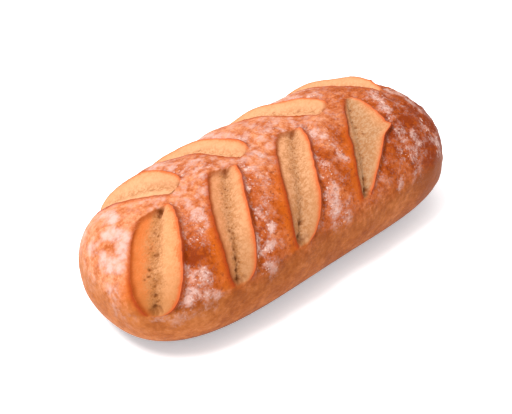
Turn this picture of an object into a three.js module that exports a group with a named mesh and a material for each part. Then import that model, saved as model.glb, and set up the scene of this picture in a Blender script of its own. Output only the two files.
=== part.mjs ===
// A crusty wheat loaf: an oblong hearth loaf, flat underneath, whose top opened along eight slanting cuts.
// Four cuts run down the front from the ridge and four down the back, in a herringbone.
// Millimetres, +X along the loaf, +Y to the back, +Z up, the origin under the middle of the flat base.

import * as THREE from "three";
import { mergeVertices } from "three/addons/utils/BufferGeometryUtils.js";

// Driving dimensions of the loaf's form, before it opened at the cuts.
const LENGTH = 281;
const WIDTH = 129.5;
const HEIGHT = 85;
const BELLY_HEIGHT = 37; // the widest line of the side
const UNDERSIDE_DEPTH = 47; // how far below that line the side's curve would reach if no floor cut it off
const BASE_ROUNDING = 1.2; // how softly the side meets the flat base
const SIDEWAYS_BEND = -4; // both ends lie this far to the front of the middle
const TOP_FULLNESS = 2.31; // 2 is an ellipse, and more is squarer
const SIDE_FULLNESS = 2.2;
const LEFT_END = { bluntness: 3.4, roundness: 2.66 };
const RIGHT_END = { bluntness: 5.4, roundness: 3.2 };

// The cuts. "from" is the inner end by the ridge and "to" the outer end on the side. Each is a place on the
// crust: its distance along the side from mid length, then over the middle from the ridge, front positive.
// The seam runs between them, and bow moves its middle along the loaf. The rims lie left and right of it,
// at most width away, which is widest at a share of the cut's length. corner: where the right rim juts out.
const FRONT_CUTS = [
  {
    from: [-88.5, -2],
    to: [-135, 83],
    bow: -9.5,
    left: { width: 23.6, widest: 0.2, bluntness: 1.75 },
    right: { width: 19.5, widest: 0.48, bluntness: 2.2 },
  },
  {
    from: [-35.5, 1],
    to: [-78, 80.5],
    bow: -5.4,
    left: { width: 15.4, widest: 0.17, bluntness: 1.9 },
    right: { width: 12.3, widest: 0.44, bluntness: 3.6 },
  },
  {
    from: [26.5, -1],
    to: [-26.7, 78.5],
    bow: -2.9,
    left: { width: 16.2, widest: 0.2, bluntness: 1.9 },
    right: { width: 13.5, widest: 0.55, bluntness: 3 },
  },
  {
    from: [84, -6],
    to: [35, 74],
    bow: -3,
    left: { width: 7.5, widest: 0.6, bluntness: 2.2 },
    right: { width: 23, widest: 0.42, bluntness: 1.2 },
    corner: { over: 36, spread: 3.5, push: 9.5 },
  },
];
const BACK_CUTS = [
  {
    from: [-65.5, -8],
    to: [-106, -80],
    bow: -4,
    left: { width: 14, widest: 0.25, bluntness: 2.4 },
    right: { width: 15.5, widest: 0.5, bluntness: 2.2 },
  },
  {
    from: [-14.5, -1],
    to: [-66, -78],
    bow: 6,
    left: { width: 9.5, widest: 0.4, bluntness: 2 },
    right: { width: 12, widest: 0.4, bluntness: 2.2 },
  },
  {
    from: [62, -4],
    to: [4, -79],
    bow: -2,
    left: { width: 14.5, widest: 0.3, bluntness: 2.4 },
    right: { width: 14.5, widest: 0.35, bluntness: 2.5 },
  },
  {
    from: [113, 2],
    to: [54, -76],
    bow: 10,
    left: { width: 9.5, widest: 0.5, bluntness: 1.5 },
    right: { width: 13, widest: 0.5, bluntness: 1.6 },
    corner: { over: -30, spread: 6, push: 3 },
  },
];
// How far the inner ends lean from a line along the loaf.
const FRONT_TILT = 0.22;
const BACK_TILT = -0.4;

// Relief of an opened cut, from its left rim across the torn face to its right rim.
const CUT_DEPTH = 3.7; // of the face along its middle
const SEAM_DEPTH = 0.8; // extra, along the seam alone
const SEAM_SHARE = 0.25; // the seam's share of the distance to a rim
const WALL_SHARE = 0.65; // of the left side's rise that belongs to its steep wall
const WALL_STEEPNESS = 9;
const FACE_START = 0.1; // where the right face starts to rise, as a share of the distance to its rim
const FACE_SOFTNESS = 1.25;
const LIP_HEIGHT = 1.8; // the crust lifted along the right rim
const LIP_THICKNESS = 2.2;
const STEP_DEPTH = 1.8; // the crust sinks behind that lip
const STEP_DISTANCE = 5.5;
const SHOULDER_DROP = 0.7; // the crust rounds down to the left rim
const SHOULDER_WIDTH = 7;
const END_SLOPE = 3.5; // a cut deepens over this distance from its inner end
const OUTER_SLOPE = 0.5; // and more gently, by this factor, from its outer end
const FULL_OPENING = 1.5; // a cut is fully deep where it opens to one part in this of its width
const TIP_FADE = 26; // the cuts run out over this distance from the tips of the loaf
const BASE_FADE = 30; // all relief dies out over this distance below the widest line

// Gentle lumps of the whole crust: height, the direction and length of the waves, and their phase.
const LUMPS = [
  { height: 0.6, wave: [75, 95, 120], phase: 0.6 },
  { height: 0.4, wave: [48, -70, 90], phase: 2.1 },
  { height: 0.25, wave: [-31, 52, 43], phase: 4.4 },
];

// The net of facets. Its rows follow the rims and seams of the cuts. A cut has one row for each entry
// below: a share of the distance from the seam to a rim, and a distance on from there.
const CUT_ROWS = [
  { share: -1, beyond: -5 },
  { share: -1, beyond: 0 },
  { share: -0.86, beyond: 0 },
  { share: -0.45, beyond: 0 },
  { share: 0, beyond: 0 },
  { share: 0.4, beyond: 0 },
  { share: 0.75, beyond: 0 },
  { share: 1, beyond: 0 },
  { share: 1, beyond: 2 },
  { share: 1, beyond: 5.5 },
];
const END_ROWS = 6; // between each tip and the nearest cut
const COLUMNS = 64; // round the loaf
const TOP_CROWDING = 0.35; // draws the columns together over the cut top
const NARROWEST = 3; // the rows at the rims never come closer to the seam
const RIDGE_ZONE = 9; // the rows of the front and the back meet within this distance of the ridge
const BASE_CAP = 45; // the end rows' share of the length under the loaf
const SAMPLES = 720; // for measuring lengths over the crust
const MERGE_DISTANCE = 1e-3;

const { clamp, lerp, smoothstep } = THREE.MathUtils;
const CUTS = FRONT_CUTS.flatMap((cut, k) => [cut, BACK_CUTS[k]]); // in the order of their inner ends
const ROWS = 2 * END_ROWS + CUT_ROWS.length * CUTS.length - 1;
const bell = (distance, width) => Math.exp(-((distance / width) ** 2));

// How far a cross-section at s, from -1 at the left tip to 1 at the right one, is narrowed.
function narrowing(s) {
  const end = s < 0 ? LEFT_END : RIGHT_END;
  return Math.max(0, 1 - Math.abs(s) ** end.bluntness) ** (1 / end.roundness);
}

// A superellipse's radius at an angle.
function superRadius(angle, fullness) {
  const sum = Math.abs(Math.cos(angle)) ** fullness + Math.abs(Math.sin(angle)) ** fullness;
  return sum ** (-1 / fullness);
}

// A height that never falls below the floor and meets it softly.
function restOnFloor(z) {
  if (z > BASE_ROUNDING) return z;
  if (z < -BASE_ROUNDING) return 0;
  return (z + BASE_ROUNDING) ** 2 / (4 * BASE_ROUNDING);
}

// A point of the bare form. The angle turns from the back (0) over the ridge to the front.
function barePoint(s, angle) {
  const k = narrowing(s);
  const above = Math.sin(angle) > 0;
  const radius = k * superRadius(angle, above ? TOP_FULLNESS : SIDE_FULLNESS);
  const reach = above ? HEIGHT - BELLY_HEIGHT : UNDERSIDE_DEPTH;
  return new THREE.Vector3(
    (s * LENGTH) / 2,
    (WIDTH / 2) * radius * Math.cos(angle) + SIDEWAYS_BEND * s * s,
    restOnFloor(BELLY_HEIGHT + reach * radius * Math.sin(angle)),
  );
}

// The loaf's side seen from above, from tip to tip.
class SideLine extends THREE.Curve {
  getPoint(t, target = new THREE.Vector3()) {
    const s = -Math.cos(Math.PI * t);
    return target.set((s * LENGTH) / 2, (narrowing(s) * WIDTH) / 2, 0);
  }
}

// Half of the middle section, from the ridge down the front to the middle of the base.
class HalfSection extends THREE.Curve {
  getPoint(t, target = new THREE.Vector3()) {
    return target.copy(barePoint(0, Math.PI * (0.5 + t)));
  }
}

const sideLine = new SideLine();
const halfSection = new HalfSection();
for (const curve of [sideLine, halfSection]) curve.arcLengthDivisions = SAMPLES;
const LEFT_REACH = sideLine.getLengths()[SAMPLES / 2];
const RIGHT_REACH = sideLine.getLength() - LEFT_REACH;
const HALF_GIRTH = halfSection.getLength();
const BELLY_PLACE = halfSection.getLengths()[SAMPLES / 2]; // the widest line, from the ridge over the crust

// The point of the bare form at a place on the crust.
function pointAt(along, over) {
  const share = clamp((along + LEFT_REACH) / (LEFT_REACH + RIGHT_REACH), 0, 1);
  const s = -Math.cos(Math.PI * sideLine.getUtoTmapping(share));
  const turn = halfSection.getUtoTmapping(clamp(Math.abs(over) / HALF_GIRTH, 0, 1));
  return barePoint(s, Math.PI * (0.5 + Math.sign(over) * turn));
}

// How far a rim lies from the seam at t, from 0 at the cut's inner end to 1 at its outer end.
function rimReach({ width, widest, bluntness }, t) {
  const skewed = t ** (Math.log(0.5) / Math.log(widest));
  return width * Math.max(0, 1 - Math.abs(2 * skewed - 1) ** bluntness) ** (1 / bluntness);
}

// A cut where it crosses a line along the loaf: its seam, how far its rims lie from that, and how fully
// it has opened. Its inner end leans, so the place along the line matters too.
function cutAt(cut, over, along) {
  const run = cut.to[1] - cut.from[1];
  const level = clamp((over - cut.from[1]) / run, 0, 1);
  const seam = lerp(cut.from[0], cut.to[0], level) + cut.bow * 4 * level * (1 - level);
  const tilt = run > 0 ? FRONT_TILT : BACK_TILT;
  const leaning = over - tilt * ((along ?? seam) - seam) * (1 - level) ** 2;
  const t = clamp((leaning - cut.from[1]) / run, 0, 1);
  const left = rimReach(cut.left, t);
  const bare = rimReach(cut.right, t);
  const opening = (left + bare) / (cut.left.width + cut.right.width);
  const push = cut.corner ? cut.corner.push * bell(over - cut.corner.over, cut.corner.spread) : 0;
  const deepening = smoothstep(Math.min(t, (1 - t) * OUTER_SLOPE) * Math.abs(run), 0, END_SLOPE);
  return {
    seam,
    left,
    right: bare + opening * push,
    fullness: deepening * Math.min(1, FULL_OPENING * opening),
  };
}

// How much an opened cut raises or lowers the crust.
function cutRelief(cut, along, over) {
  const { seam, left, right, fullness } = cutAt(cut, over, along);
  if (fullness === 0) return 0;
  const v = along - seam;
  const toRim = v < 0 ? left : right;
  const beyond = Math.abs(v) - toRim;
  if (beyond >= 0) {
    if (v < 0) return -fullness * SHOULDER_DROP * bell(beyond, SHOULDER_WIDTH);
    const far = (beyond / STEP_DISTANCE) ** 2;
    return fullness * (LIP_HEIGHT * bell(beyond, LIP_THICKNESS) - STEP_DEPTH * far * Math.exp(1 - far));
  }
  const q = v / toRim;
  return fullness * (faceRise(q) - CUT_DEPTH - SEAM_DEPTH * bell(q, SEAM_SHARE));
}

// How far the torn face rises from its lowest line at q, from -1 at the left rim to 1 at the right one.
function faceRise(q) {
  if (q < 0) {
    const fall = lerp(Math.abs(q), Math.abs(q) ** WALL_STEEPNESS, WALL_SHARE);
    return (CUT_DEPTH - SHOULDER_DROP) * fall;
  }
  const face = Math.max(0, (q - FACE_START) / (1 - FACE_START));
  return (CUT_DEPTH + LIP_HEIGHT) * Math.sin((Math.PI / 2) * face) ** FACE_SOFTNESS;
}

// The height of the crust's gentle lumps at a point.
function lumpRelief(point) {
  const heights = LUMPS.map(({ height, wave, phase }) => {
    const cycles = point.x / wave[0] + point.y / wave[1] + point.z / wave[2];
    return height * Math.sin(2 * Math.PI * cycles + phase);
  });
  return heights.reduce((sum, height) => sum + height);
}

// The whole relief at a place on the crust. It dies out below the widest line.
function relief(along, over, point) {
  const cuts = CUTS.reduce((sum, cut) => sum + cutRelief(cut, along, over), 0);
  const fromTip = Math.min(along + LEFT_REACH, RIGHT_REACH - along);
  const fade = 1 - smoothstep(Math.abs(over), BELLY_PLACE, BELLY_PLACE + BASE_FADE);
  return (cuts * smoothstep(fromTip, 0, TIP_FADE) + lumpRelief(point)) * fade;
}

// Where the net's rows cross a line along the top. They follow the cuts of that side, and between these
// the rows of the other side's cuts are spread evenly.
function topRows(side, fromRidge) {
  const fixed = [{ row: 0, place: -LEFT_REACH }];
  CUTS.forEach((cut, k) => {
    const { seam, left, right } = cutAt(cut, Math.sign(cut.to[1]) * fromRidge);
    CUT_ROWS.forEach(({ share, beyond }, m) => {
      const row = END_ROWS + CUT_ROWS.length * k + m;
      const outermost = row === END_ROWS || row === ROWS - END_ROWS;
      if (Math.sign(cut.to[1]) !== side && !outermost) return;
      fixed.push({ row, place: seam + share * Math.max(share < 0 ? left : right, NARROWEST) + beyond });
    });
  });
  return spread([...fixed, { row: ROWS, place: RIGHT_REACH }]);
}

// A place for every row, from the fixed places of some of them.
function spread(fixed) {
  const places = [fixed[0].place];
  for (let next = 1; next < fixed.length; next++) {
    const [a, b] = [fixed[next - 1], fixed[next]];
    for (let row = a.row + 1; row <= b.row; row++) {
      places.push(lerp(a.place, b.place, (row - a.row) / (b.row - a.row)));
    }
  }
  return places;
}

// Where the net's rows cross a line along the loaf. The two sides meet at the ridge, and both turn
// into the base's plain rows below.
function rowPlaces(over) {
  const fromRidge = Math.abs(over);
  const side = over < 0 ? -1 : 1;
  const own = topRows(side, fromRidge);
  const other = topRows(-side, fromRidge);
  const base = spread([
    { row: 0, place: -LEFT_REACH },
    { row: END_ROWS, place: BASE_CAP - LEFT_REACH },
    { row: ROWS - END_ROWS, place: RIGHT_REACH - BASE_CAP },
    { row: ROWS, place: RIGHT_REACH },
  ]);
  const meeting = (1 - smoothstep(fromRidge, 0, RIDGE_ZONE)) / 2;
  const lowering = smoothstep(fromRidge, BELLY_PLACE, HALF_GIRTH);
  return own.map((place, row) => lerp(lerp(place, other[row], meeting), base[row], lowering));
}

// Where the net's columns run, over the crust from the ridge.
function columnPlace(column) {
  const turn = (2 * column) / COLUMNS - 1;
  return HALF_GIRTH * (turn * (1 - TOP_CROWDING) + TOP_CROWDING * turn ** 3);
}

// The loaf: a sphere's net, its poles at the two tips, laid over the bare form and raised by the relief.
function loafGeometry() {
  const net = new THREE.SphereGeometry(1, COLUMNS, ROWS);
  const uv = net.getAttribute("uv");
  const place = new THREE.Float32BufferAttribute(uv.count * 2, 2);
  const columns = [];
  for (let column = 0; column < COLUMNS; column++) columns.push(rowPlaces(columnPlace(column)));
  for (let i = 0; i < uv.count; i++) {
    const row = Math.round(uv.getY(i) * ROWS);
    const column = Math.round(uv.getX(i) * COLUMNS) % COLUMNS;
    const atTip = row === 0 || row === ROWS;
    const [along, over] = [columns[column][row], atTip ? 0 : columnPlace(column)];
    place.setXY(i, along, over);
    net.getAttribute("position").setXYZ(i, ...pointAt(along, over));
  }
  net.setAttribute("place", place);
  net.deleteAttribute("uv");
  net.deleteAttribute("normal");
  const loaf = mergeVertices(net, MERGE_DISTANCE);
  loaf.computeVertexNormals();
  raise(loaf);
  loaf.deleteAttribute("place");
  loaf.deleteAttribute("normal");
  loaf.computeBoundingBox();
  const middle = loaf.boundingBox.getCenter(new THREE.Vector3());
  return loaf.translate(-middle.x, -middle.y, 0);
}

// Moves every point of the crust outwards by the relief there, and keeps it above the floor.
function raise(loaf) {
  const position = loaf.getAttribute("position");
  const normal = loaf.getAttribute("normal");
  const place = loaf.getAttribute("place");
  const point = new THREE.Vector3();
  const outward = new THREE.Vector3();
  for (let i = 0; i < position.count; i++) {
    point.fromBufferAttribute(position, i);
    outward.fromBufferAttribute(normal, i);
    point.addScaledVector(outward, relief(place.getX(i), place.getY(i), point));
    position.setXYZ(i, point.x, point.y, Math.max(0, point.z));
  }
}

const crust = new THREE.MeshStandardMaterial({ color: 0xd07b45, roughness: 0.7, metalness: 0 });
const loaf = new THREE.Mesh(loafGeometry(), crust);
loaf.name = "loaf";

const bread = new THREE.Group();
bread.add(loaf);

export default bread;
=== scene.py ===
"""The looks of a crusty wheat loaf: an oblong hearth loaf with eight slanting cuts, dusted with flour.

The form is worked out here as in the part's source, in millimetres and from the same named sizes, on a
much finer net, and then moved into the frame's metres. A place on the crust is (along, over): along its
side from mid length towards the right end, and over its middle from the ridge, front positive. A place
on a cut is (t, q): t from 0 at its inner end by the ridge to 1 at its outer end on the side, and q from
-1 at its left rim over 0 at its seam to 1 at its right rim.
"""

import itertools
import math
from collections import namedtuple

import bpy
import numpy as np
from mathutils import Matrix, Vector


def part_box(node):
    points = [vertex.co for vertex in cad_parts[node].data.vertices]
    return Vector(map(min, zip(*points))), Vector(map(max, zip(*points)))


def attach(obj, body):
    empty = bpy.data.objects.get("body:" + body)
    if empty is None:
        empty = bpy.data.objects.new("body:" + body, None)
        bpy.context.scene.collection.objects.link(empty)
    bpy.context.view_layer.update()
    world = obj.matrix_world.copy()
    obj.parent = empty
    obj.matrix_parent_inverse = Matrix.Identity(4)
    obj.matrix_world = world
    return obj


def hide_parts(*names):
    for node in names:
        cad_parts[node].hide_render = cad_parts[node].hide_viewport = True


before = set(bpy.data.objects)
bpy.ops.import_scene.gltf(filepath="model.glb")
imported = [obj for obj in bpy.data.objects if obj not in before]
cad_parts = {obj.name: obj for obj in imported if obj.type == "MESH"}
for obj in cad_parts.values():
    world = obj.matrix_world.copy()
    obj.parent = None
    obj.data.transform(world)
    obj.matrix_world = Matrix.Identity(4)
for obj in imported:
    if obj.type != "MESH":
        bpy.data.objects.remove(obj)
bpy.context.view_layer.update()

MM = 0.001

# ---- The form, as in the solid ----
LENGTH = 281
WIDTH = 129.5
HEIGHT = 85
BELLY_HEIGHT = 37
UNDERSIDE_DEPTH = 47
BASE_ROUNDING = 1.2
SIDEWAYS_BEND = -4
TOP_FULLNESS = 2.31
SIDE_FULLNESS = 2.2
LEFT_BLUNTNESS, LEFT_ROUNDNESS = 3.4, 2.66
RIGHT_BLUNTNESS, RIGHT_ROUNDNESS = 5.4, 3.2
# Gentle lumps: height, wave lengths along x, y and z (a minus slants the wave the other way), phase.
LUMPS = [
    (0.6, (75, 95, 120), 0.6),
    (0.4, (48, -70, 90), 2.1),
    (0.25, (-31, 52, 43), 4.4),
]

# ---- The cuts ----
# A rim's width is its greatest distance from the seam, and widest is the t where it has that width.
Rim = namedtuple("Rim", "width widest bluntness")
# start, end: the seam's inner and outer ends, as (along, over). bow: how far its middle is moved along the
# loaf. ragged: how far the rims wander. corners: (over, spread, push) where the right rim juts out. mouth:
# how deep the hole at the inner end is and how much shade is painted in it. slit: the stretch of t where
# the
# seam gapes. pores: how many lie along the seam. tan, pale: how drab and how pale the torn face is.
Cut = namedtuple("Cut", "start end bow left right ragged corners mouth slit pores tan pale")
FRONT_CUTS = [
    Cut(
        start=(-88.5, -2), end=(-135, 83), bow=-9.5,
        left=Rim(23.6, 0.2, 1.75), right=Rim(19.5, 0.48, 2.2),
        ragged=0.35, corners=(), mouth=1.0, slit=(0.56, 0.64), pores=12, tan=0.0, pale=0.0,
    ),
    Cut(
        start=(-35.5, 1), end=(-78, 80.5), bow=-5.4,
        left=Rim(15.4, 0.17, 1.9), right=Rim(12.3, 0.44, 3.6),
        ragged=0.6, corners=(), mouth=0.6, slit=(0.6, 0.93), pores=8, tan=0.4, pale=0.35,
    ),
    Cut(
        start=(26.5, -1), end=(-26.7, 78.5), bow=-2.9,
        left=Rim(16.2, 0.2, 1.9), right=Rim(13.5, 0.55, 3.0),
        ragged=0.7, corners=(), mouth=0.6, slit=(0.78, 0.9), pores=9, tan=0.65, pale=0.6,
    ),
    Cut(
        start=(84, -6), end=(35, 74), bow=-3,
        left=Rim(7.5, 0.6, 2.2), right=Rim(23.0, 0.42, 1.2),
        ragged=1.0, corners=((36, 3.5, 9.5),), mouth=0.0, slit=(0.84, 0.95), pores=7, tan=1.0, pale=0.0,
    ),
]
BACK_CUTS = [
    Cut(
        start=(-65.5, -8), end=(-106, -80), bow=-4,
        left=Rim(14.0, 0.25, 2.4), right=Rim(15.5, 0.5, 2.2),
        ragged=0.5, corners=(), mouth=0.0, slit=(0.6, 0.8), pores=6, tan=0.0, pale=1.0,
    ),
    Cut(
        start=(-14.5, -1), end=(-66, -78), bow=6,
        left=Rim(9.5, 0.4, 2.0), right=Rim(12.0, 0.4, 2.2),
        ragged=0.6, corners=(), mouth=0.0, slit=(0.6, 0.85), pores=7, tan=0.0, pale=1.0,
    ),
    Cut(
        start=(62, -4), end=(4, -79), bow=-2,
        left=Rim(14.5, 0.3, 2.4), right=Rim(14.5, 0.35, 2.5),
        ragged=0.7, corners=(), mouth=0.0, slit=(0.65, 0.85), pores=9, tan=0.0, pale=1.0,
    ),
    Cut(
        start=(113, 2), end=(54, -76), bow=10,
        left=Rim(9.5, 0.5, 1.5), right=Rim(13.0, 0.5, 1.6),
        ragged=1.2, corners=((-30, 6, 3),), mouth=0.0, slit=(0.7, 0.9), pores=8, tan=0.0, pale=1.0,
    ),
]

CUT_DEPTH = 3.7
SEAM_DEPTH = 0.8
SEAM_SHARE = 0.25
SEAM_WANDER = 0.1
WALL_SHARE = 0.65  # of the left side's rise that belongs to its steep wall
WALL_STEEPNESS = 9
FACE_START = 0.1  # where the right face starts to rise, as a share of the half width
FACE_SOFTNESS = 1.25
LIP_HEIGHT = 1.8
LIP_THICKNESS = 2.2
STEP_DEPTH = 1.8
STEP_DISTANCE = 5.5
SHOULDER_DROP = 0.7
SHOULDER_WIDTH = 7
END_SLOPE = 3.5  # a cut deepens over this distance from its inner end
OUTER_SLOPE = 0.5  # and more gently, by this factor, from its outer end
FULL_OPENING = 1.5  # a cut is fully deep where it opens to one part in this of its width
TIP_FADE = 26
BASE_FADE = 30
WANDER_SIZE = 9  # of the rims' waves
NEAREST_RIM = 0.01
FRONT_TILT, BACK_TILT = 0.22, 0.4  # how far the inner ends lean from a line along the loaf

# ---- The net: its rows follow the rims ----
CUT_SPAN = 33  # rows across a cut
GAP_SPAN = 5
END_SPAN = 48  # between each tip and the nearest cut
COLUMNS = 240
TOP_CROWDING = 0.35
RIM_CROWDING = 0.5
NARROWEST = 4
RIDGE_ZONE = 12
BASE_CAP = 45
SAMPLES = 1440
NORMAL_STEP = 0.4
BLOCK = CUT_SPAN + GAP_SPAN
ROWS = 2 * END_SPAN + 8 * CUT_SPAN + 7 * GAP_SPAN

# ---- Marks: how much of each look a place has, which the shader reads from the mesh ----
# Of these marks, the walls' and the holes' are painted shade, and the rims' scorch, the browning, the lower
# sides and the base's dark band are partly painted shade.
MARKS = (
    "torn", "across", "reach", "seam", "tan", "wall", "lip", "pale", "scorch_and_shade", "bake", "glow", "flour",
    "dark", "low", "base_brown_and_shade",
)
Slope = namedtuple("Slope", "amount low high")  # a smooth rise by an amount between two values
Cloud = namedtuple("Cloud", "amount size seed")  # noise of an amount, with features of a size
MARKED_DEPTH = (0.02, 0.15)  # a cut's marks come in between these shares of its full depth
# How far the painted shade on a cut's steep walls reaches.
WALL_SHADE_WIDTH = 2.2
LIP_WIDTH = 1.8
SEAM_PLACE, SEAM_WIDTH = -0.05, 0.36  # in q
TAN_LOSS = Slope(0.7, 0.45, 0.9)  # in q
# The pale of a face is lost towards its right rim, and in the front row also down the cut and at the seam.
PALE_LOSS_RIGHT = Slope(0.6, 0.2, 0.9)  # in q
PALE_LOSS_DOWN = Slope(0.8, 0.35, 0.75)  # in t
PALE_LOSS_SEAM, PALE_SEAM_WIDTH = 0.7, 0.3
PALE_MARGIN = 4
# Browned and shaded bands beside a cut: side, mark, and (strength, distance beyond the rim, width) first up
# by the ridge and then on the lower half. The scorch bands are a browned rim with painted shade beside it:
# the lip's shadow behind a right rim and the shaded wall along a left rim. The browning band behind a right
# rim is painted shade in the sunk step there.
LEFT_SIDE, RIGHT_SIDE = -1, 1
LOWER_HALF = (0.15, 0.6)  # in t
BANDS = [
    (RIGHT_SIDE, "scorch_and_shade", (0.85, 0.6, 1.3), (0.85, 0.6, 1.3)),
    (LEFT_SIDE, "scorch_and_shade", (0.7, 0, 2.4), (0.9, 0, 3.2)),
    # Painted shade in the sunk step behind a right rim's lip.
    (RIGHT_SIDE, "bake", (0.2, 3, 6), (0.2, 3, 6)),
    (LEFT_SIDE, "glow", (0.3, 0, 4), (1, 0, 7.5)),
]

# ---- Holes in the torn faces ----
DRAW_SEED = 12  # of the random holes and, after them, the blisters
HOLE_EDGE = (0.15, 0.8)
# A hole's darkness is the shade painted in it.
Pores = namedtuple("Pores", "middle spread radius depth darkness")  # depth as a share of the radius
SCATTERED = Pores(0, 0.16, (0.5, 1.05), 0.9, (0.45, 0.8))
SCATTERED_REACH = (0.12, 0.9)  # in t
GAPING = Pores(-0.04, 0.05, (0.6, 1.2), 0.7, (0.25, 0.5))
GAPING_SPACING, GAPING_UNEVENNESS = 1.9, 0.8
# The hole at the inner end: t, q, radius, depth, and darkness of the shade painted in it.
MOUTH = [(0.02, 0.1, 2.0, 2.0, 0.9), (0.05, 0.05, 1.6, 1.4, 0.7)]
# Shallow hollows at the foot of each cut, with shade painted in them: t, q, radius, darkness.
FOOT = [
    (0.93, -0.45, 1.6, 0.5), (0.95, -0.2, 1.7, 0.6), (0.92, 0, 1.5, 0.45), (0.95, 0.2, 1.6, 0.55),
    (0.93, 0.42, 1.4, 0.45),
]
FOOT_DEPTH = 0.4
# Larger holes in the front row's faces, as deep as their radius, with shade painted in them: (along, over,
# radius, darkness).
HOLES = [
    (-46, 13.5, 1.0, 0.8), (-66, 43, 1.1, 0.8), (-65, 45.5, 1.0, 0.6), (-71, 55.5, 1.2, 0.85),
    (-72.5, 61.5, 1.3, 0.9), (-75.5, 69.5, 1.3, 0.85), (-76.5, 76, 1.7, 0.95), (-18.5, 64, 1.6, 0.85),
    (-24.5, 71.5, 1.7, 0.8), (-22.5, 74.5, 1.6, 0.7), (-124, 35.5, 1.2, 0.9), (-127.5, 41, 1.1, 0.9),
    (-131.5, 42, 0.9, 0.7), (-130.5, 62, 1.4, 0.75), (-133.5, 74, 1.8, 0.6), (-130.5, 75, 1.5, 0.5),
    (-113.5, 20.5, 1.1, 0.6), (-113.5, 28.5, 1.6, 0.5), (42.5, 60, 1.4, 0.8), (39, 67, 1.6, 0.9),
    (45, 45.5, 1.0, 0.5), (-89, 1, 1.6, 0.7),
]

# ---- Grain of the crust and of the torn faces ----
SWELLING = Cloud(0.35, 14, 40)
GRAIN_SIZE, GRAIN_SEED = 5, 50
GRAIN_LEFT, GRAIN_RIGHT = 0.14, 0.4
RIGHT_END = (60, 130)
FIBRE_STRETCH = (4.0, 1.5, 1.0)
FIBRES = Cloud(0.22, 1, 60)
FIBRES_OFF_SEAM = 0.35
CRUMB = Cloud(0.12, 2.2, 70)
BLISTERS = 220
BLISTER_ALONG, BLISTER_OVER = (-130, 150), (-60, 95)
BLISTER_RADIUS, BLISTER_HEIGHT = (0.9, 1.9), (0.12, 0.4)

# ---- Baking, partly painted shade ----
LEAST_BROWNING = 0.21
# The slopes below are partly browning and partly painted light and shade: paler at the lit left end, darker
# at the right end and down the front where less light falls.
BROWNER_AND_SHADED_PAST_LEFT_END = Slope(0.15, -105, -70)
BROWNER_AND_SHADED_AT_RIGHT_END = Slope(0.4, 60, 110)
BROWNER_AND_SHADED_DOWN_FRONT = Slope(0.22, 5, 46)
BROWN_CLOUDS = Cloud(0.12, 16, 80)
# Browner patches: (along, over, radius, strength).
PATCHES = [
    (-96, 45, 6, 0.5), (-89, 47, 6, 0.4), (-100, 47, 4, 0.3), (-108, 79, 5, 0.3), (-90, 62, 6, 0.25),
    (-31, 52, 8, 0.25), (-49, 41, 7, 0.2), (-24, 65, 8, 0.2), (21, 22, 6, 0.25), (28, 34, 6, 0.3),
    (48, 27, 9, 0.3), (30, 52, 8, 0.2), (108, 38, 6, 0.4), (98, 42, 5, 0.3), (108, 66, 6, 0.35),
    (106, 79, 6, 0.4), (75, 55, 6, 0.3), (80, 42, 5, 0.3), (100, 96, 6, 0.25), (116, 92, 6, 0.3),
    (64, 66, 6, 0.15),
]
# The lower sides, a browner crust also darkened as painted shade, and the dark band at the base, partly
# browner crust and partly painted shade where it meets the floor: the heights where they start and are
# full.
LOW_START, LOW_FULL = 61, 39
LOW_WAVES = Cloud(3, 20, 95)
EDGE_START, EDGE_FULL = 18.5, 9

# ---- Flour ----
FILM = 0.2  # thinly over all the crust
RIDGE_FILM, RIDGE_FILM_PLACE, RIDGE_FILM_WIDTH = 0.22, -5, 28
RIDGE_FILM_FADE = (10, 70)
LEFT_FILM, LEFT_FILM_END = 0.35, (-110, -90)
LOW_LOSS, LOW_LOSS_START = 0.9, (-120, -80)
PATCH_LOSS = 1.4
GLOW_LOSS = 0.9
BACK_FLOUR = 0.5
BACK_START = (16, 42)
BACK_CLOUDS = Cloud(0.4, 18, 90)
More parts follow.
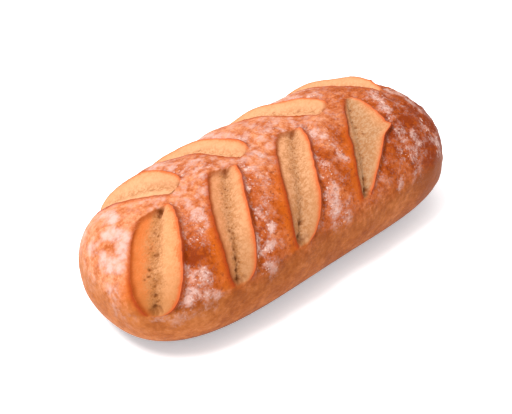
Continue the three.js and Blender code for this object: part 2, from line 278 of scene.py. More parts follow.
# Streaks: both ends as (along, over), radius, strength.
STREAKS = [
    ((-112, -40), (-114, -24), 6, 1.0), ((-123, -18), (-122, -3), 6, 1.0), ((-131, 9), (-125, 2), 5, 0.8),
    ((-136, -34), (-139, -28), 6, 0.7), ((-141, -8), (-141, 14), 6, 1.0),
    ((-155, -52), (-158, -62), 9, 0.6), ((-147, 30), (-154, 34), 7, 0.7),
    ((-155, 90), (-160, 80), 9, 0.45), ((-122, 89), (-134, 88), 6, 0.35),
    ((-50, -10), (-44, -8), 10, 0.6), ((-60, -27), (-66, -24), 8, 0.5), ((-76, 19), (-79, 30), 6, 0.7),
    ((-85, 33), (-90, 39), 6, 0.65), ((-85, 50), (-82, 47), 5, 0.45), ((-104, 52), (-105, 60), 5, 0.85),
    ((-98, 60), (-99, 72), 6, 0.85), ((-104, 68), (-112, 74), 6, 0.85), ((-97, 80), (-100, 84), 7, 0.65),
    ((-114, 82), (-118, 84), 6, 0.5), ((-11, 5), (-8, 11), 6, 0.7), ((-22, 11), (-27, 14), 5, 0.5),
    ((-31, 17), (-36, 26), 5, 0.55), ((-43, 43), (-42, 48), 4, 0.9), ((-41, 54), (-50, 66), 4, 0.8),
    ((-54, 58), (-56, 66), 5, 0.65), ((-55, 75), (-53, 80), 8, 0.5), ((-34, 40), (-32, 35), 4, 0.45),
    ((-6, -21), (-16, -32), 10, 0.6), ((34, 11), (37, 20), 4, 0.85), ((36, 26), (37, 41), 4, 0.85),
    ((20, 30), (20, 40), 4, 0.7), ((16, 46), (12, 56), 6, 0.55), ((10, 60), (10, 74), 9, 0.6),
    ((48, -15), (70, -24), 6, 0.65), ((88, 43), (88, 49), 6, 0.65), ((98, 50), (98, 57), 5, 0.6),
    ((78, 57), (88, 62), 6, 0.55), ((118, 63), (111, 77), 5, 0.75), ((115, 44), (113, 60), 4, 0.6),
    ((124, 35), (124, 20), 5, 0.75), ((124, 14), (122, 2), 6, 0.7), ((103, 4), (95, 24), 5, 0.8),
    ((93, 26), (90, 31), 4, 0.6), ((86, 71), (86, 78), 7, 0.35), ((69, 73), (67, 79), 4, 0.5),
]

# ---- The studio, in metres ----
FLOOR_REACH = 4.0
FLOOR_GLOW, FLOOR_GLOW_STRENGTH = (1.0, 0.97, 1.0, 1), 0.33
SKY_STRENGTH = 0.78
# Lights: name, place, size, power.
LIGHTS = [
    ("overhead", (-0.25, 0.25, 1.7), 1.8, 13),
    ("key", (-0.72, 0.1, 1.5), 0.6, 18),
]
LIGHT_TARGET = (0, 0, 0.04)
CAMERA_PLACE, CAMERA_TARGET = (-0.4072, -0.4334, 0.4994), (0, 0, 0.039)
LENS, SENSOR_WIDTH = 77.3, 36
SHIFT_X, SHIFT_Y = -0.0162, -0.0147
CLIP_START = 0.01


def mix(a, b, share):
    return a + (b - a) * share


def smooth(value, low, high):
    """Rises from 0 to 1 between low and high, level at both."""
    share = np.clip((value - low) / (high - low), 0, 1)
    return share * share * (3 - 2 * share)


def climb(value, slope):
    return slope.amount * smooth(value, slope.low, slope.high)


def bell(distance, width):
    return np.exp(-((distance / width) ** 2))


# ---- Noise ----
LATTICE_DIRECTION = np.array([127.1, 311.7, 74.7])
LATTICE_SEED_STEP = 19.19
LATTICE_SCATTER = 43758.5453


def lattice(cells, seed):
    """A number from 0 to 1 that is fixed for every cell of a lattice."""
    mixed = cells @ LATTICE_DIRECTION + LATTICE_SEED_STEP * seed
    return np.modf(np.abs(np.sin(mixed)) * LATTICE_SCATTER)[0]


def noise(points, size, seed):
    """Smooth noise from -1 to 1 whose features are of one size."""
    scaled = points / size
    base = np.floor(scaled)
    part = scaled - base
    ease = part**3 * (part * (part * 6 - 15) + 10)
    total = 0
    for corner in itertools.product((0, 1), repeat=3):
        share = np.prod(np.where(corner, ease, 1 - ease), axis=-1)
        total = total + share * lattice(base + corner, seed)
    return 2 * total - 1


def clouds(points, size, seed, octaves=3):
    """Noise with finer and finer detail."""
    layers = [noise(points, size / 2**k, seed + k) / 2**k for k in range(octaves)]
    return sum(layers)


def clouds_like(points, cloud):
    return cloud.amount * clouds(points, cloud.size, cloud.seed)


# ---- The bare form ----
def narrowing(s):
    bluntness = np.where(s < 0, LEFT_BLUNTNESS, RIGHT_BLUNTNESS)
    roundness = np.where(s < 0, LEFT_ROUNDNESS, RIGHT_ROUNDNESS)
    return np.maximum(0, 1 - np.abs(s) ** bluntness) ** (1 / roundness)


def rest_on_floor(z):
    soft = (z + BASE_ROUNDING) ** 2 / (4 * BASE_ROUNDING)
    return np.where(z > BASE_ROUNDING, z, np.where(z < -BASE_ROUNDING, 0, soft))


def bare_point(s, angle):
    """s runs from -1 at the left tip to 1 at the right, the angle from the back over the ridge forwards."""
    above = np.sin(angle) > 0
    fullness = np.where(above, TOP_FULLNESS, SIDE_FULLNESS)
    reach = np.where(above, HEIGHT - BELLY_HEIGHT, UNDERSIDE_DEPTH)
    powers = np.abs(np.cos(angle)) ** fullness + np.abs(np.sin(angle)) ** fullness
    radius = narrowing(s) * powers ** (-1 / fullness)
    y = WIDTH / 2 * radius * np.cos(angle) + SIDEWAYS_BEND * s * s
    z = rest_on_floor(BELLY_HEIGHT + reach * radius * np.sin(angle))
    return np.stack([s * LENGTH / 2 + 0 * angle, y, z], axis=-1)


def run_lengths(points):
    steps = np.linalg.norm(np.diff(points, axis=0), axis=-1)
    return np.concatenate([[0], np.cumsum(steps)])


TURNS = np.linspace(0, 1, SAMPLES + 1)
SIDE_S = -np.cos(np.pi * TURNS)
SIDE_RUN = run_lengths(np.stack([SIDE_S * LENGTH / 2, narrowing(SIDE_S) * WIDTH / 2], axis=-1))
GIRTH_RUN = run_lengths(bare_point(0 * TURNS, np.pi * (0.5 + TURNS)))
LEFT_REACH = SIDE_RUN[SAMPLES // 2]
RIGHT_REACH = SIDE_RUN[-1] - LEFT_REACH
HALF_GIRTH = GIRTH_RUN[-1]
BELLY_PLACE = GIRTH_RUN[SAMPLES // 2]


def point_at(along, over):
    s = -np.cos(np.pi * np.interp(along + LEFT_REACH, SIDE_RUN, TURNS))
    turn = np.interp(np.abs(over), GIRTH_RUN, TURNS)
    return bare_point(s, np.pi * (0.5 + np.sign(over) * turn))


def outward_at(along, over):
    """The bare form's outward normals."""
    lengthwise = point_at(along + NORMAL_STEP, over) - point_at(along - NORMAL_STEP, over)
    crosswise = point_at(along, over + NORMAL_STEP) - point_at(along, over - NORMAL_STEP)
    normal = np.cross(crosswise, lengthwise)
    size = np.linalg.norm(normal, axis=-1, keepdims=True)
    tip = np.stack([np.sign(along), 0 * along, 0 * along], axis=-1)
    return np.where(size > 1e-6, normal / np.maximum(size, 1e-9), tip)


# ---- Where a cut lies ----
RIM_SEED, SEAM_SEED = 3, 31


def wander(over, cut, seed):
    spots = np.stack([over, 0 * over, 0 * over], axis=-1)
    return cut.ragged * (noise(spots, WANDER_SIZE, seed) + 0.5 * noise(spots, WANDER_SIZE / 3, seed + 7))


def rim_reach(rim, t):
    """How far a rim lies from the seam at t."""
    skewed = t ** (math.log(0.5) / math.log(rim.widest))
    return rim.width * np.maximum(0, 1 - np.abs(2 * skewed - 1) ** rim.bluntness) ** (1 / rim.bluntness)


Crossing = namedtuple("Crossing", "left seam right full t")


def crossing(cut, over, along=None):
    """Where a cut's rims and seam cross lines along the loaf, and how fully it has opened there."""
    reach = cut.end[1] - cut.start[1]
    t = np.clip((over - cut.start[1]) / reach, 0, 1)
    seam = mix(cut.start[0], cut.end[0], t) + cut.bow * 4 * t * (1 - t)
    if along is not None:
        tilt = FRONT_TILT if reach > 0 else -BACK_TILT
        leaning = over - tilt * (along - seam) * (1 - t) ** 2
        t = np.clip((leaning - cut.start[1]) / reach, 0, 1)
    left, right = rim_reach(cut.left, t), rim_reach(cut.right, t)
    opening = (left + right) / (cut.left.width + cut.right.width)
    seed = 10 * abs(cut.start[0])
    left = left + opening * wander(over, cut, seed)
    right = right + opening * wander(over, cut, seed + RIM_SEED)
    for place, spread, push in cut.corners:
        right = right + opening * push * bell(over - place, spread)
    full = smooth(np.minimum(t, (1 - t) * OUTER_SLOPE) * abs(reach), 0, END_SLOPE)
    left, right = np.maximum(left, NEAREST_RIM), np.maximum(right, NEAREST_RIM)
    return Crossing(seam - left, seam, seam + right, full * np.minimum(1, FULL_OPENING * opening), t)


def place_on(cut, t, q):
    """The (along, over) of a spot on a cut."""
    over = mix(cut.start[1], cut.end[1], t)
    left, seam, right, _, _ = (float(value[0]) for value in crossing(cut, np.array([over], float)))
    return seam + q * (right - seam if q > 0 else seam - left), over


# ---- The net ----
def crowd(count):
    """Shares from 0 to 1 that lie closer together at both ends."""
    even = np.linspace(0, 1, count + 1)
    return mix(even, (1 - np.cos(np.pi * even)) / 2, RIM_CROWDING)


def net_rims(cut, over):
    found = crossing(cut, over)
    left = np.minimum(found.left, found.seam - NARROWEST)
    right = np.maximum(found.right, found.seam + NARROWEST)
    return left, right


def side_rows(cuts, offset, over, first=None, last=None):
    """The rows on one side: every row's place on each line along the loaf."""
    stops = [(0, np.full_like(over, -LEFT_REACH))]
    if first is not None:
        stops.append((END_SPAN, first))
    for k, cut in enumerate(cuts):
        row = END_SPAN + (2 * k + offset) * BLOCK
        left, right = net_rims(cut, over)
        stops += [(row, left), (row + CUT_SPAN, right)]
    if last is not None:
        stops.append((ROWS - END_SPAN, last))
    stops.append((ROWS, np.full_like(over, RIGHT_REACH)))
    places = np.empty((ROWS + 1, len(over)))
    for (row_a, a), (row_b, b) in zip(stops, stops[1:]):
        places[row_a : row_b + 1] = mix(a, b, crowd(row_b - row_a)[:, None])
    return places


def base_rows(over):
    stops = [0, END_SPAN, ROWS - END_SPAN, ROWS]
    places = [-LEFT_REACH, BASE_CAP - LEFT_REACH, RIGHT_REACH - BASE_CAP, RIGHT_REACH]
    return np.interp(np.arange(ROWS + 1), stops, places)[:, None] + 0 * over


def net_places():
    """The (along, over) of every crossing of the net."""
    turn = 2 * np.arange(COLUMNS) / COLUMNS - 1
    over = HALF_GIRTH * (turn * (1 - TOP_CROWDING) + TOP_CROWDING * turn**3)
    from_ridge = np.abs(over)
    front = side_rows(FRONT_CUTS, 0, from_ridge, last=net_rims(BACK_CUTS[-1], -from_ridge)[1])
    back = side_rows(BACK_CUTS, 1, -from_ridge, first=net_rims(FRONT_CUTS[0], from_ridge)[0])
    own = np.where(over >= 0, front, back)
    other = np.where(over >= 0, back, front)
    meeting = (1 - smooth(from_ridge, 0, RIDGE_ZONE)) / 2
    lowering = smooth(from_ridge, BELLY_PLACE, HALF_GIRTH)
    along = mix(mix(own, other, meeting), base_rows(over), lowering)
    return along, np.broadcast_to(over, along.shape)


# ---- Relief and marks ----
class Crust:
    """The places of the net with the relief and the marks that are laid on them in turn."""

    def __init__(self, along, over):
        self.along = along
        self.over = over
        self.bare = point_at(along, over)
        self.outward = outward_at(along, over)
        self.height = np.zeros_like(along)
        self.marks = {name: np.zeros_like(along) for name in MARKS}
        self.fibre = self.bare.copy()
        tip = np.minimum(along + LEFT_REACH, RIGHT_REACH - along)
        self.open_air = 1 - smooth(np.abs(over), BELLY_PLACE, BELLY_PLACE + BASE_FADE)
        self.cut_room = smooth(tip, 0, TIP_FADE) * self.open_air

    def distance(self, along, over):
        """From a place on the crust, straight through the air."""
        centre = point_at(np.array([along], float), np.array([over], float))[0]
        return np.linalg.norm(self.bare - centre, axis=-1)

    def distance_to_streak(self, start, end):
        first, last = point_at(*np.array([start, end], float).T)
        run = last - first
        share = np.clip((self.bare - first) @ run / (run @ run), 0, 1)
        return np.linalg.norm(self.bare - first - share[..., None] * run, axis=-1)

    def paint(self, name, value):
        """Raises a mark to the value where it is higher."""
        self.marks[name] = np.maximum(self.marks[name], value)

    def lay(self, name, value, where):
        """Sets a mark to the value in some places."""
        self.marks[name] = np.where(where, value, self.marks[name])


def face_relief(cut, over, q):
    """Inside a cut: its steep left wall, its seam, and its right face that rises to the lip."""
    seam = bell(q - SEAM_WANDER * wander(over, cut, SEAM_SEED) / cut.ragged, SEAM_SHARE)
    wall = (1 - WALL_SHARE) * np.abs(q) + WALL_SHARE * np.abs(q) ** WALL_STEEPNESS
    face = np.clip((q - FACE_START) / (1 - FACE_START), 0, 1)
    swell = np.sin(np.pi / 2 * face) ** FACE_SOFTNESS
    rise = np.where(q < 0, (CUT_DEPTH - SHOULDER_DROP) * wall, (CUT_DEPTH + LIP_HEIGHT) * swell)
    return rise - CUT_DEPTH - SEAM_DEPTH * seam


def rim_relief(q, beyond):
    """Outside a cut: a sunk shoulder on its left, and a lip with a sunk step behind it on its right."""
    far = (beyond / STEP_DISTANCE) ** 2
    lip = LIP_HEIGHT * bell(beyond, LIP_THICKNESS) - STEP_DEPTH * far * np.exp(1 - far)
    return np.where(q < 0, -SHOULDER_DROP * bell(beyond, SHOULDER_WIDTH), lip)


def open_cut(crust, cut):
    """Sinks one cut into the crust and marks its face and its rims."""
    found = crossing(cut, crust.over, crust.along)
    v = crust.along - found.seam
    half = np.where(v < 0, found.seam - found.left, found.right - found.seam)
    q = v / half
    beyond = np.abs(v) - half
    room = found.full * crust.cut_room
    crust.height += room * np.where(beyond < 0, face_relief(cut, crust.over, q), rim_relief(q, beyond))
    shown = smooth(room, *MARKED_DEPTH)
    mark_face(crust, cut, found.t, q, beyond, (beyond < 0) * shown)
    mark_rims(crust, found.t, q, beyond, shown)


def mark_face(crust, cut, t, q, beyond, torn):
    """Marks where the crust tore, how far across and along the cut a place is, its tints, and the painted
    shade on its steep left wall and at its inner end.
    """
    from_end = t * abs(cut.end[1] - cut.start[1])
    # Painted shade on the steep left wall and at the inner end of a cut.
    wall = np.maximum((q < 0) * bell(beyond, WALL_SHADE_WIDTH), bell(from_end, WALL_SHADE_WIDTH))
    crust.paint("torn", torn)
    crust.paint("wall", torn * wall)
    crust.paint("lip", torn * (q > 0) * bell(beyond, LIP_WIDTH))
    crust.paint("seam", torn * bell(q - SEAM_PLACE, SEAM_WIDTH))
    crust.paint("tan", torn * cut.tan * (1 - climb(q, TAN_LOSS)))
    crust.paint("pale", torn * cut.pale * paleness(cut, t, q, beyond))
    crust.lay("across", np.clip((q + 1) / 2, 0, 1), torn > 0)
    crust.lay("reach", t, torn > 0)
    fibre = np.stack([q * cut.right.width, crust.over, 0 * q], axis=-1)
    crust.fibre = np.where(torn[..., None] > 0, fibre, crust.fibre)


def paleness(cut, t, q, beyond):
    in_front_row = cut.end[1] > 0
    at_seam = PALE_LOSS_SEAM * bell(q - SEAM_PLACE, PALE_SEAM_WIDTH)
    lost = np.maximum(climb(t, PALE_LOSS_DOWN), at_seam) * in_front_row
    return (1 - lost) * smooth(-beyond, 0, PALE_MARGIN) * (1 - climb(q, PALE_LOSS_RIGHT))


def mark_rims(crust, t, q, beyond, shown):
    """Marks the bands beside a cut: its browning, and the painted shade along its rims."""
    lower_half = smooth(t, *LOWER_HALF)
    for side, mark, upper, lower in BANDS:
        strength, place, width = (mix(a, b, lower_half) for a, b in zip(upper, lower))
        crust.paint(mark, strength * (side * q > 1) * bell(beyond - place, width) * shown)


def sink_hole(crust, place, radius, depth, darkness):
    hole = bell(crust.distance(*place), radius)
    crust.height -= depth * hole * crust.cut_room
    # Painted shade: the hole is darkened where shade falls in it.
    crust.paint("dark", darkness * smooth(hole, *HOLE_EDGE) * crust.marks["torn"])


def scattered_spots(cut, rng):
    """Little holes all along the seam."""
    for _ in range(cut.pores):
        t = rng.uniform(*SCATTERED_REACH)
        q = rng.normal(SCATTERED.middle, SCATTERED.spread)
        radius = rng.uniform(*SCATTERED.radius)
        yield t, q, radius, SCATTERED.depth * radius, rng.uniform(*SCATTERED.darkness)


def gaping_spots(cut, rng):
    """A chain of holes on the stretch where the seam gapes."""
    start, end = cut.slit
    count = int((end - start) * abs(cut.end[1] - cut.start[1]) / GAPING_SPACING)
    for k in range(count):
        t = mix(start, end, (k + rng.uniform(0, GAPING_UNEVENNESS)) / count)
        radius = rng.uniform(*GAPING.radius)
        q = rng.normal(GAPING.middle, GAPING.spread)
        yield t, q, radius, GAPING.depth * radius, rng.uniform(*GAPING.darkness)


def end_spots(cut):
    """The hole at the inner end and the shallow hollows at the foot, with shade painted in them."""
    if cut.mouth:
        for t, q, radius, depth, darkness in MOUTH:
            yield t, q, radius, depth * cut.mouth, darkness * cut.mouth
    for t, q, radius, darkness in FOOT:
        yield t, q, radius, FOOT_DEPTH * radius, darkness


def sink_pores(crust, cut, rng):
    for t, q, *hole in [*scattered_spots(cut, rng), *gaping_spots(cut, rng), *end_spots(cut)]:
        sink_hole(crust, place_on(cut, t, q), *hole)


def roughen(crust, rng):
    """The lumps of the whole crust, the grain and blisters of the baked crust, and the faces' fibres."""
    x, y, z = np.moveaxis(crust.bare, -1, 0)
    for height, (wave_x, wave_y, wave_z), phase in LUMPS:
        cycles = x / wave_x + y / wave_y + z / wave_z
        crust.height += height * np.sin(2 * np.pi * cycles + phase) * crust.open_air
    torn = crust.marks["torn"]
    skin = (1 - torn) * crust.open_air
    grain = mix(GRAIN_LEFT, GRAIN_RIGHT, smooth(crust.along, *RIGHT_END))
    crust.height += clouds_like(crust.bare, SWELLING) * skin
    crust.height += grain * clouds(crust.bare, GRAIN_SIZE, GRAIN_SEED) * skin
    fibres = FIBRES.amount * noise(crust.fibre / np.array(FIBRE_STRETCH), FIBRES.size, FIBRES.seed)
    crust.height += fibres * torn * (FIBRES_OFF_SEAM + crust.marks["seam"])
    crust.height += CRUMB.amount * noise(crust.bare, CRUMB.size, CRUMB.seed) * torn
    for _ in range(BLISTERS):
        place = rng.uniform(*BLISTER_ALONG), rng.uniform(*BLISTER_OVER)
        radius = rng.uniform(*BLISTER_RADIUS)
        height = rng.uniform(*BLISTER_HEIGHT)
        crust.height += height * bell(crust.distance(*place), radius) * skin


def bake(crust, patches):
    """Marks how browned the crust is, darker down the front and at the right end and paler at the left end
    partly as painted light and shade, and marks the lower sides and the base's dark band.
    """
    y, z = crust.bare[..., 1], crust.bare[..., 2]
    browning = LEAST_BROWNING + climb(crust.along, BROWNER_AND_SHADED_PAST_LEFT_END)
    browning = browning + climb(crust.along, BROWNER_AND_SHADED_AT_RIGHT_END) + climb(-y, BROWNER_AND_SHADED_DOWN_FRONT)
    browning = browning + clouds_like(crust.bare, BROWN_CLOUDS)
    crust.marks["bake"] = np.clip(browning + crust.marks["bake"] + patches, 0, 1)
    crust.marks["low"] = smooth(clouds_like(crust.bare, LOW_WAVES) - z, -LOW_START, -LOW_FULL)
    # Darker towards the floor: partly browner crust, partly painted shade where it meets the floor.
    crust.marks["base_brown_and_shade"] = smooth(-z, -EDGE_START, -EDGE_FULL)


def dust(crust, patches):
    """Marks where the flour lies: a thin film, streaks on the front and ridge, and drifts on the back."""
    along, marks = crust.along, crust.marks
    ridge_film = RIDGE_FILM * bell(crust.over - RIDGE_FILM_PLACE, RIDGE_FILM_WIDTH)
    floured = FILM + ridge_film * (1 - smooth(along, *RIDGE_FILM_FADE))
    floured = floured * mix(LEFT_FILM, 1, smooth(along, *LEFT_FILM_END))
    floured = floured * (1 - LOW_LOSS * marks["low"] * smooth(along, *LOW_LOSS_START))
    for start, end, radius, strength in STREAKS:
        floured = np.maximum(floured, strength * bell(crust.distance_to_streak(start, end), radius))
    floured = floured * (1 - np.clip(PATCH_LOSS * patches, 0, 1)) * (1 - GLOW_LOSS * marks["glow"])
    on_back = (BACK_FLOUR + clouds_like(crust.bare, BACK_CLOUDS)) * smooth(crust.bare[..., 1], *BACK_START)
    floured = np.maximum(floured, on_back * crust.open_air)
    marks["flour"] = np.clip(floured, 0, 1) * (1 - marks["torn"])


def lay_crust():
    crust = Crust(*net_places())
    rng = np.random.default_rng(DRAW_SEED)
    for cut in FRONT_CUTS + BACK_CUTS:
        open_cut(crust, cut)
    for cut in FRONT_CUTS + BACK_CUTS:
        sink_pores(crust, cut, rng)
    for along, over, radius, darkness in HOLES:
        sink_hole(crust, (along, over), radius, radius, darkness)
    roughen(crust, rng)
    patches = sum(strength * bell(crust.distance(*place), radius) for *place, radius, strength in PATCHES)
    bake(crust, patches)
    dust(crust, patches)
    return crust


# ---- The mesh ----
def net_faces():
    """Four-sided faces between the rows and a fan at each tip. Point 0 and the last point are the tips."""
    rows = np.arange(ROWS - 2)[:, None] * COLUMNS + 1
    columns = np.arange(COLUMNS)
    following = (columns + 1) % COLUMNS
    quads = np.stack(
        [rows + columns, rows + following, rows + COLUMNS + following, rows + COLUMNS + columns], axis=-1
    )
    last = (ROWS - 1) * COLUMNS + 1
    left = [(0, 1 + following[c], 1 + c) for c in range(COLUMNS)]
    right = [(last, last - COLUMNS + c, last - COLUMNS + following[c]) for c in range(COLUMNS)]
    return [tuple(map(int, face)) for face in [*quads.reshape(-1, 4), *left, *right]]


def by_point(values):
    """The values of the net in the mesh's order of points, with one point for each tip."""
    inner = values[1:-1].reshape(-1, *values.shape[2:])
    return np.concatenate([values[:1, 0], inner, values[-1:, 0]])


def loaf_points(crust):
    """The points in millimetres, on the floor and centred in the solid's box."""
    raised = crust.bare + crust.outward * crust.height[..., None]
    raised[..., 2] = np.maximum(0, raised[..., 2])
    points = by_point(raised)
    low, high = points.min(axis=0), points.max(axis=0)
    cad_low, cad_high = (np.array(corner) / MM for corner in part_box("loaf"))
    shift = (cad_low + cad_high - low - high) / 2
    return points + shift * (1, 1, 0)


def build_loaf(crust):
    mesh = bpy.data.meshes.new("crusty_loaf")
    mesh.from_pydata((loaf_points(crust) * MM).tolist(), [], net_faces())
    for name, values in crust.marks.items():
        attribute = mesh.attributes.new(name, "FLOAT", "POINT")
        attribute.data.foreach_set("value", by_point(values).astype(np.float32))
    fibre = mesh.attributes.new("fibre", "FLOAT_VECTOR", "POINT")
    fibre.data.foreach_set("vector", by_point(crust.fibre).astype(np.float32).ravel())
    mesh.shade_smooth()
    mesh.validate()
    loaf = bpy.data.objects.new("crusty_loaf", mesh)
    bpy.context.scene.collection.objects.link(loaf)
    return loaf


# ---- Materials ----
def tint(red, green, blue):
    """A colour given as it looks on a screen, from 0 to 255."""

    def linear(value):
        value = value / 255
        return value / 12.92 if value <= 0.04045 else ((value + 0.055) / 1.055) ** 2.4

    return linear(red), linear(green), linear(blue), 1.0


# From the palest to the brownest.
CRUST_COLOURS = [
    (0.0, tint(214, 145, 108)),
    (0.25, tint(196, 118, 76)),
    (0.5, tint(174, 88, 43)),
    (0.75, tint(157, 68, 14)),
    (1.0, tint(130, 49, 8)),
]
# From the left rim over the seam to the right rim.
TORN_COLOURS = [
    (0.0, tint(188, 96, 42)),
    (0.2, tint(198, 110, 58)),
    (0.38, tint(188, 122, 76)),
    (0.55, tint(194, 136, 93)),
    (0.68, tint(214, 153, 107)),
    (0.9, tint(212, 140, 92)),
    (1.0, tint(202, 115, 66)),
]
TORN_DEEP = tint(159, 98, 47)
TAN_COLOUR = tint(176, 138, 105)
PALE_COLOUR = tint(217, 160, 118)
# Painted shade on a cut's steep walls.
WALL_SHADE_COLOUR = tint(146, 60, 15)
LIP_COLOUR = tint(204, 92, 46)
SPECKLE_COLOUR = tint(128, 73, 27)
# Painted shade inside holes.
HOLE_SHADE_COLOUR = tint(114, 56, 16)
GLOW_COLOUR = tint(206, 99, 20)
# The lower sides: a browner crust, also darkened as painted shade.
LOW_BROWN_AND_SHADE, LOW_DARK_BROWN_AND_SHADE = tint(177, 102, 46), tint(136, 70, 27)
# The base's dark band: partly browner crust, partly painted shade where it meets the floor.
BASE_BROWN_AND_SHADE_COLOUR = tint(78, 34, 16)
# Browned rims with painted shade beside them.
SCORCH_AND_SHADE_COLOUR = tint(148, 52, 19)
FLOUR_COLOUR = tint(208, 173, 162)
PIT_COLOUR = tint(100, 38, 18)
# Light specks: flour, and painted glints.
SPECK_AND_GLINT_COLOUR = tint(222, 188, 174)
FLOOR_COLOUR = tint(252, 252, 252)

# The sizes of the shader's noises, in millimetres, and how far they sway the mixes.
BLOTCH_SIZE, BLOTCH_SWAY = 8, 0.12
MOTTLE_SIZE, MOTTLE_SWAY = 3.2, 0.13
FINE_SIZE, FINE_SWAY = 1.3, 0.1
FIBRE_SIZE, FIBRE_SWAY = 1.4, 0.08
DRIFT_SIZE, DRIFT_SWAY = 7, 0.5
SPECKLE_SIZE = 2.0
PIT_SIZE, PIT_SHIFT = 2.3, 3
SPECK_SIZE, SPECK_SHIFT = 2.0, 7
NOISE_LOW, NOISE_HIGH = 0.3, 0.7  # where nearly all of a noise lies
# The greatest share of each colour in the mix.
GLOW_SHARE = 0.85
LOW_SHARE = 0.8
DEEP_SHARE = 0.6
TAN_SHARE = 0.8
RIM_SHARE = 0.9
SAND_SHARE = 0.6
SPECKLE_SHARE = 0.7
FLOUR_SHARE = 0.9
PIT_SHARE = 0.45
SPECK_SHARE = 0.75

SHEEN = 0.05
SMOOTHEST, ROUGHEST = 0.5, 0.8
BUMP_HEIGHT, BUMP_STRENGTH = 0.7, 0.8
FLOOR_ROUGHNESS = 0.9


class Shader:
    """Adds nodes to a material and joins them."""

    def __init__(self, name):
        self.material = bpy.data.materials.new(name)
        self.material.use_nodes = True
        self.tree = self.material.node_tree
        self.main = self.tree.nodes["Principled BSDF"]

    def add(self, kind, sockets=None, **settings):
        made = self.tree.nodes.new("ShaderNode" + kind)
        for name, value in settings.items():
            setattr(made, name, value)
        for key, value in (sockets or {}).items():
            self.feed(made.inputs[key], value)
        return made

    def feed(self, socket, value):
        if isinstance(value, bpy.types.NodeSocket):
            self.tree.links.new(value, socket)
        else:
            socket.default_value = value

    def mark(self, name):
        return self.add("Attribute", attribute_name=name).outputs["Fac"]

    def noise(self, size, detail=2.0, vector=None, roughness=0.5, shift=0.0):
        """Noise with features of a size in millimetres."""
        place = vector or self.add("TexCoord").outputs["Object"]
        if shift:
            place = self.add("VectorMath", {0: place, 1: (shift, shift, shift)}, operation="ADD").outputs[0]
        scale = 1 / (size * MM) if vector is None else 1 / size
        sockets = {"Vector": place, "Scale": scale, "Detail": detail, "Roughness": roughness}
        return self.add("TexNoise", sockets).outputs["Fac"]

    def combine(self, operation, a, b):
        return self.add("Math", {0: a, 1: b}, operation=operation).outputs[0]

    def sum(self, *values):
        total = values[0]
        for value in values[1:]:
            total = self.combine("ADD", total, value)
        return total

    def times(self, a, b):
        return self.combine("MULTIPLY", a, b)

    def ramp(self, value, low, high, to_low=0.0, to_high=1.0):
        sockets = {"Value": value, 1: low, 2: high, 3: to_low, 4: to_high}
        return self.add("MapRange", sockets, interpolation_type="SMOOTHSTEP").outputs[0]

    def sway(self, noise, amount):
        """Spreads a noise from minus to plus an amount."""
        return self.ramp(noise, NOISE_LOW, NOISE_HIGH, -amount, amount)

    def blend(self, share, a, b):
        made = self.add("Mix", {0: share, 6: a, 7: b}, data_type="RGBA")
        return made.outputs[2]

    def colours(self, value, stops):
        made = self.add("ValToRGB", {0: value})
        elements = made.color_ramp.elements
        elements[0].color = stops[0][1]
        elements[1].color = stops[-1][1]
        for place, colour in stops[1:-1]:
            elements.new(place).color = colour
        return made.outputs[0]


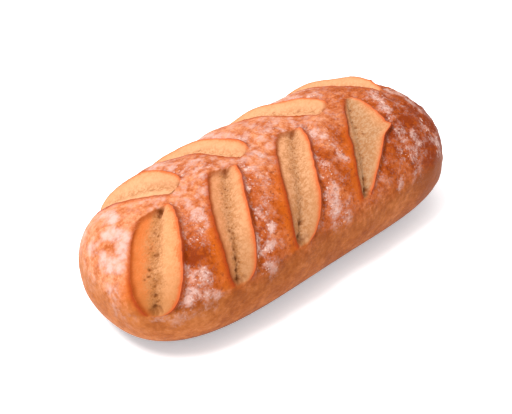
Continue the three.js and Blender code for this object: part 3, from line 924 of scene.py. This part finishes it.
class CrustShader(Shader):
    """The layers of the loaf's one material: browned crust with painted shade in it, torn faces, flour,
    pits, and specks that are also painted glints.
    """

    def __init__(self):
        super().__init__("crust")
        self.torn, self.seam, self.flour = self.mark("torn"), self.mark("seam"), self.mark("flour")
        self.bake, self.low, self.pale = self.mark("bake"), self.mark("low"), self.mark("pale")
        self.mottle = self.noise(MOTTLE_SIZE, 3)
        self.fine = self.noise(FINE_SIZE, 2)
        self.blotched = self.sway(self.noise(BLOTCH_SIZE, 3), BLOTCH_SWAY)
        self.mottled = self.sway(self.mottle, MOTTLE_SWAY)
        self.grainy = self.sway(self.fine, FINE_SWAY)
        self.fibre = self.add("Attribute", attribute_name="fibre").outputs["Vector"]
        self.streaks = self.noise(FIBRE_SIZE, 4, vector=self.fibre, roughness=0.6)
        self.flourless = self.sum(self.torn, self.times(self.low, 0.5))

    def browned(self):
        """The crust by its browning, which holds painted shade too, with its glow beside the cuts, and its
        lower sides and the base's dark band, both partly painted shade.
        """
        colour = self.colours(self.sum(self.bake, self.blotched, self.mottled, self.grainy), CRUST_COLOURS)
        colour = self.blend(self.times(self.mark("glow"), GLOW_SHARE), colour, GLOW_COLOUR)
        # The lower sides: browner crust, also darkened as painted shade.
        smeared = self.sum(self.low, self.times(self.mottled, 1.2))
        browner = self.ramp(self.sum(self.bake, self.blotched, self.mottled), 0.1, 0.95)
        lower = self.blend(browner, LOW_BROWN_AND_SHADE, LOW_DARK_BROWN_AND_SHADE)
        colour = self.blend(self.ramp(smeared, 0.1, 1.0, 0.0, LOW_SHARE), colour, lower)
        # The base's dark band, partly painted shade where it meets the floor.
        return self.blend(self.mark("base_brown_and_shade"), colour, BASE_BROWN_AND_SHADE_COLOUR)

    def torn_face(self):
        """The torn face by the place across the cut and down it, with tints, speckles and painted shade on
        its walls.
        """
        swayed = self.sum(self.sway(self.streaks, FIBRE_SWAY), self.times(self.blotched, 0.6))
        colour = self.colours(self.sum(self.mark("across"), swayed), TORN_COLOURS)
        deep = self.times(self.ramp(self.mark("reach"), 0.4, 0.95), DEEP_SHARE)
        colour = self.blend(deep, colour, TORN_DEEP)
        colour = self.blend(self.times(self.mark("tan"), TAN_SHARE), colour, TAN_COLOUR)
        colour = self.blend(self.pale, colour, PALE_COLOUR)
        colour = self.blend(self.sandy(), colour, TORN_DEEP)
        # Painted shade on the cut's walls.
        colour = self.blend(self.times(self.mark("wall"), RIM_SHARE), colour, WALL_SHADE_COLOUR)
        colour = self.blend(self.times(self.mark("lip"), RIM_SHARE), colour, LIP_COLOUR)
        return self.blend(self.speckles(), colour, SPECKLE_COLOUR)

    def sandy(self):
        """Grains of the deeper colour, most at the seam and on the drab faces."""
        grains = self.ramp(self.sum(self.mottle, self.fine), 0.8, 1.2, 0.0, SAND_SHARE)
        return self.times(grains, self.ramp(self.sum(self.seam, self.mark("tan")), 0.0, 1.0, 0.35, 1.0))

    def speckles(self):
        """Dark crumbs along the seam, fewer on the pale faces."""
        crumbs = self.noise(SPECKLE_SIZE, 3, vector=self.fibre, roughness=0.6)
        speckles = self.times(self.seam, self.ramp(crumbs, 0.52, 0.68, 0.0, SPECKLE_SHARE))
        return self.times(speckles, self.ramp(self.pale, 0.0, 1.0, 1.0, 0.25))

    def flour_cover(self):
        """How thickly flour covers the crust: in drifts, broken up by the grain of the browner crust."""
        drifts = self.sway(self.noise(DRIFT_SIZE, 5, roughness=0.62), DRIFT_SWAY)
        drifted = self.times(drifts, self.ramp(self.flour, 0.0, 0.4, 0.5, 1.0))
        broken = self.times(self.grainy, self.ramp(self.bake, 0.3, 0.5, 1.1, 2.0))
        dusting = self.sum(self.times(self.flour, 1.1), drifted, broken)
        cover = self.times(self.ramp(dusting, 0.1, 1.45, 0.0, FLOUR_SHARE), self.ramp(self.flour, 0.0, 0.2))
        return self.times(cover, self.ramp(self.flourless, 0.0, 1.0, 1.0, 0.0))

    def pitted(self, colour):
        """Dark pits and, where flour lies, light specks in the browner crust: flour specks that also stand
        as painted glints.
        """
        coarse = self.times(self.ramp(self.bake, 0.28, 0.52), self.ramp(self.flourless, 0.0, 0.6, 1.0, 0.0))
        pits = self.ramp(self.noise(PIT_SIZE, 2, shift=PIT_SHIFT), 0.56, 0.68, 0.0, PIT_SHARE)
        colour = self.blend(self.times(pits, coarse), colour, PIT_COLOUR)
        # Light specks: flour, and painted glints on the crust.
        specks = self.ramp(self.noise(SPECK_SIZE, 2, shift=SPECK_SHIFT), 0.6, 0.7, 0.0, SPECK_SHARE)
        specks = self.times(specks, self.ramp(self.flour, 0.1, 0.5))
        return self.blend(self.times(specks, coarse), colour, SPECK_AND_GLINT_COLOUR)

    def relief(self):
        """The finest grain of the crust and the fibres of the torn faces."""
        skin = self.sum(self.times(self.mottle, 0.8), self.times(self.fine, 0.7))
        skin = self.times(skin, self.ramp(self.torn, 0.0, 1.0, 1.0, 0.3))
        fibrous = self.times(self.streaks, self.sum(self.seam, 0.2))
        height = self.sum(skin, self.times(fibrous, self.times(self.torn, 1.2)))
        sockets = {"Height": height, "Distance": BUMP_HEIGHT * MM, "Strength": BUMP_STRENGTH}
        return self.add("Bump", sockets).outputs["Normal"]


def crust_material():
    shader = CrustShader()
    flour = shader.flour_cover()
    colour = shader.blend(shader.torn, shader.browned(), shader.torn_face())
    colour = shader.pitted(shader.blend(flour, colour, FLOUR_COLOUR))
    # Browned rims with painted shade beside them: the lip's shadow and the shaded left walls.
    colour = shader.blend(shader.mark("scorch_and_shade"), colour, SCORCH_AND_SHADE_COLOUR)
    # Painted shade in the holes.
    colour = shader.blend(shader.mark("dark"), colour, HOLE_SHADE_COLOUR)
    roughness = shader.ramp(shader.sum(flour, shader.torn), 0.0, 1.0, SMOOTHEST, ROUGHEST)
    shader.feed(shader.main.inputs["Base Color"], colour)
    shader.feed(shader.main.inputs["Roughness"], roughness)
    shader.feed(shader.main.inputs["Normal"], shader.relief())
    shader.main.inputs["Specular IOR Level"].default_value = SHEEN
    return shader.material


def floor_material():
    shader = Shader("floor")
    shader.main.inputs["Base Color"].default_value = FLOOR_COLOUR
    shader.main.inputs["Roughness"].default_value = FLOOR_ROUGHNESS
    shader.main.inputs["Emission Color"].default_value = FLOOR_GLOW
    shader.main.inputs["Emission Strength"].default_value = FLOOR_GLOW_STRENGTH
    return shader.material


# ---- The scene ----
def lay_floor():
    mesh = bpy.data.meshes.new("floor")
    reach = FLOOR_REACH
    corners = [(-reach, -reach, 0), (reach, -reach, 0), (reach, reach, 0), (-reach, reach, 0)]
    mesh.from_pydata(corners, [], [(0, 1, 2, 3)])
    mesh.materials.append(floor_material())
    floor = bpy.data.objects.new("floor", mesh)
    bpy.context.scene.collection.objects.link(floor)


def aim(thing, target):
    direction = Vector(target) - thing.location
    thing.rotation_euler = direction.to_track_quat("-Z", "Y").to_euler()


def add_light(name, place, size, power):
    data = bpy.data.lights.new(name, "AREA")
    data.shape = "DISK"
    data.size = size
    data.energy = power
    light = bpy.data.objects.new(name, data)
    light.location = place
    bpy.context.scene.collection.objects.link(light)
    aim(light, LIGHT_TARGET)


def light_studio():
    world = bpy.data.worlds.new("studio")
    world.use_nodes = True
    background = world.node_tree.nodes["Background"]
    background.inputs["Color"].default_value = (1, 1, 1, 1)
    background.inputs["Strength"].default_value = SKY_STRENGTH
    bpy.context.scene.world = world
    for light in LIGHTS:
        add_light(*light)


def place_camera():
    data = bpy.data.cameras.new("camera")
    data.lens = LENS
    data.sensor_width = SENSOR_WIDTH
    data.shift_x = SHIFT_X
    data.shift_y = SHIFT_Y
    data.clip_start = CLIP_START
    camera = bpy.data.objects.new("camera", data)
    camera.location = CAMERA_PLACE
    bpy.context.scene.collection.objects.link(camera)
    aim(camera, CAMERA_TARGET)
    bpy.context.scene.camera = camera


loaf = build_loaf(lay_crust())
loaf.data.materials.append(crust_material())
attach(loaf, "root")
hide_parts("loaf")
lay_floor()
light_studio()
place_camera()
bpy.context.scene.view_settings.view_transform = "Standard"
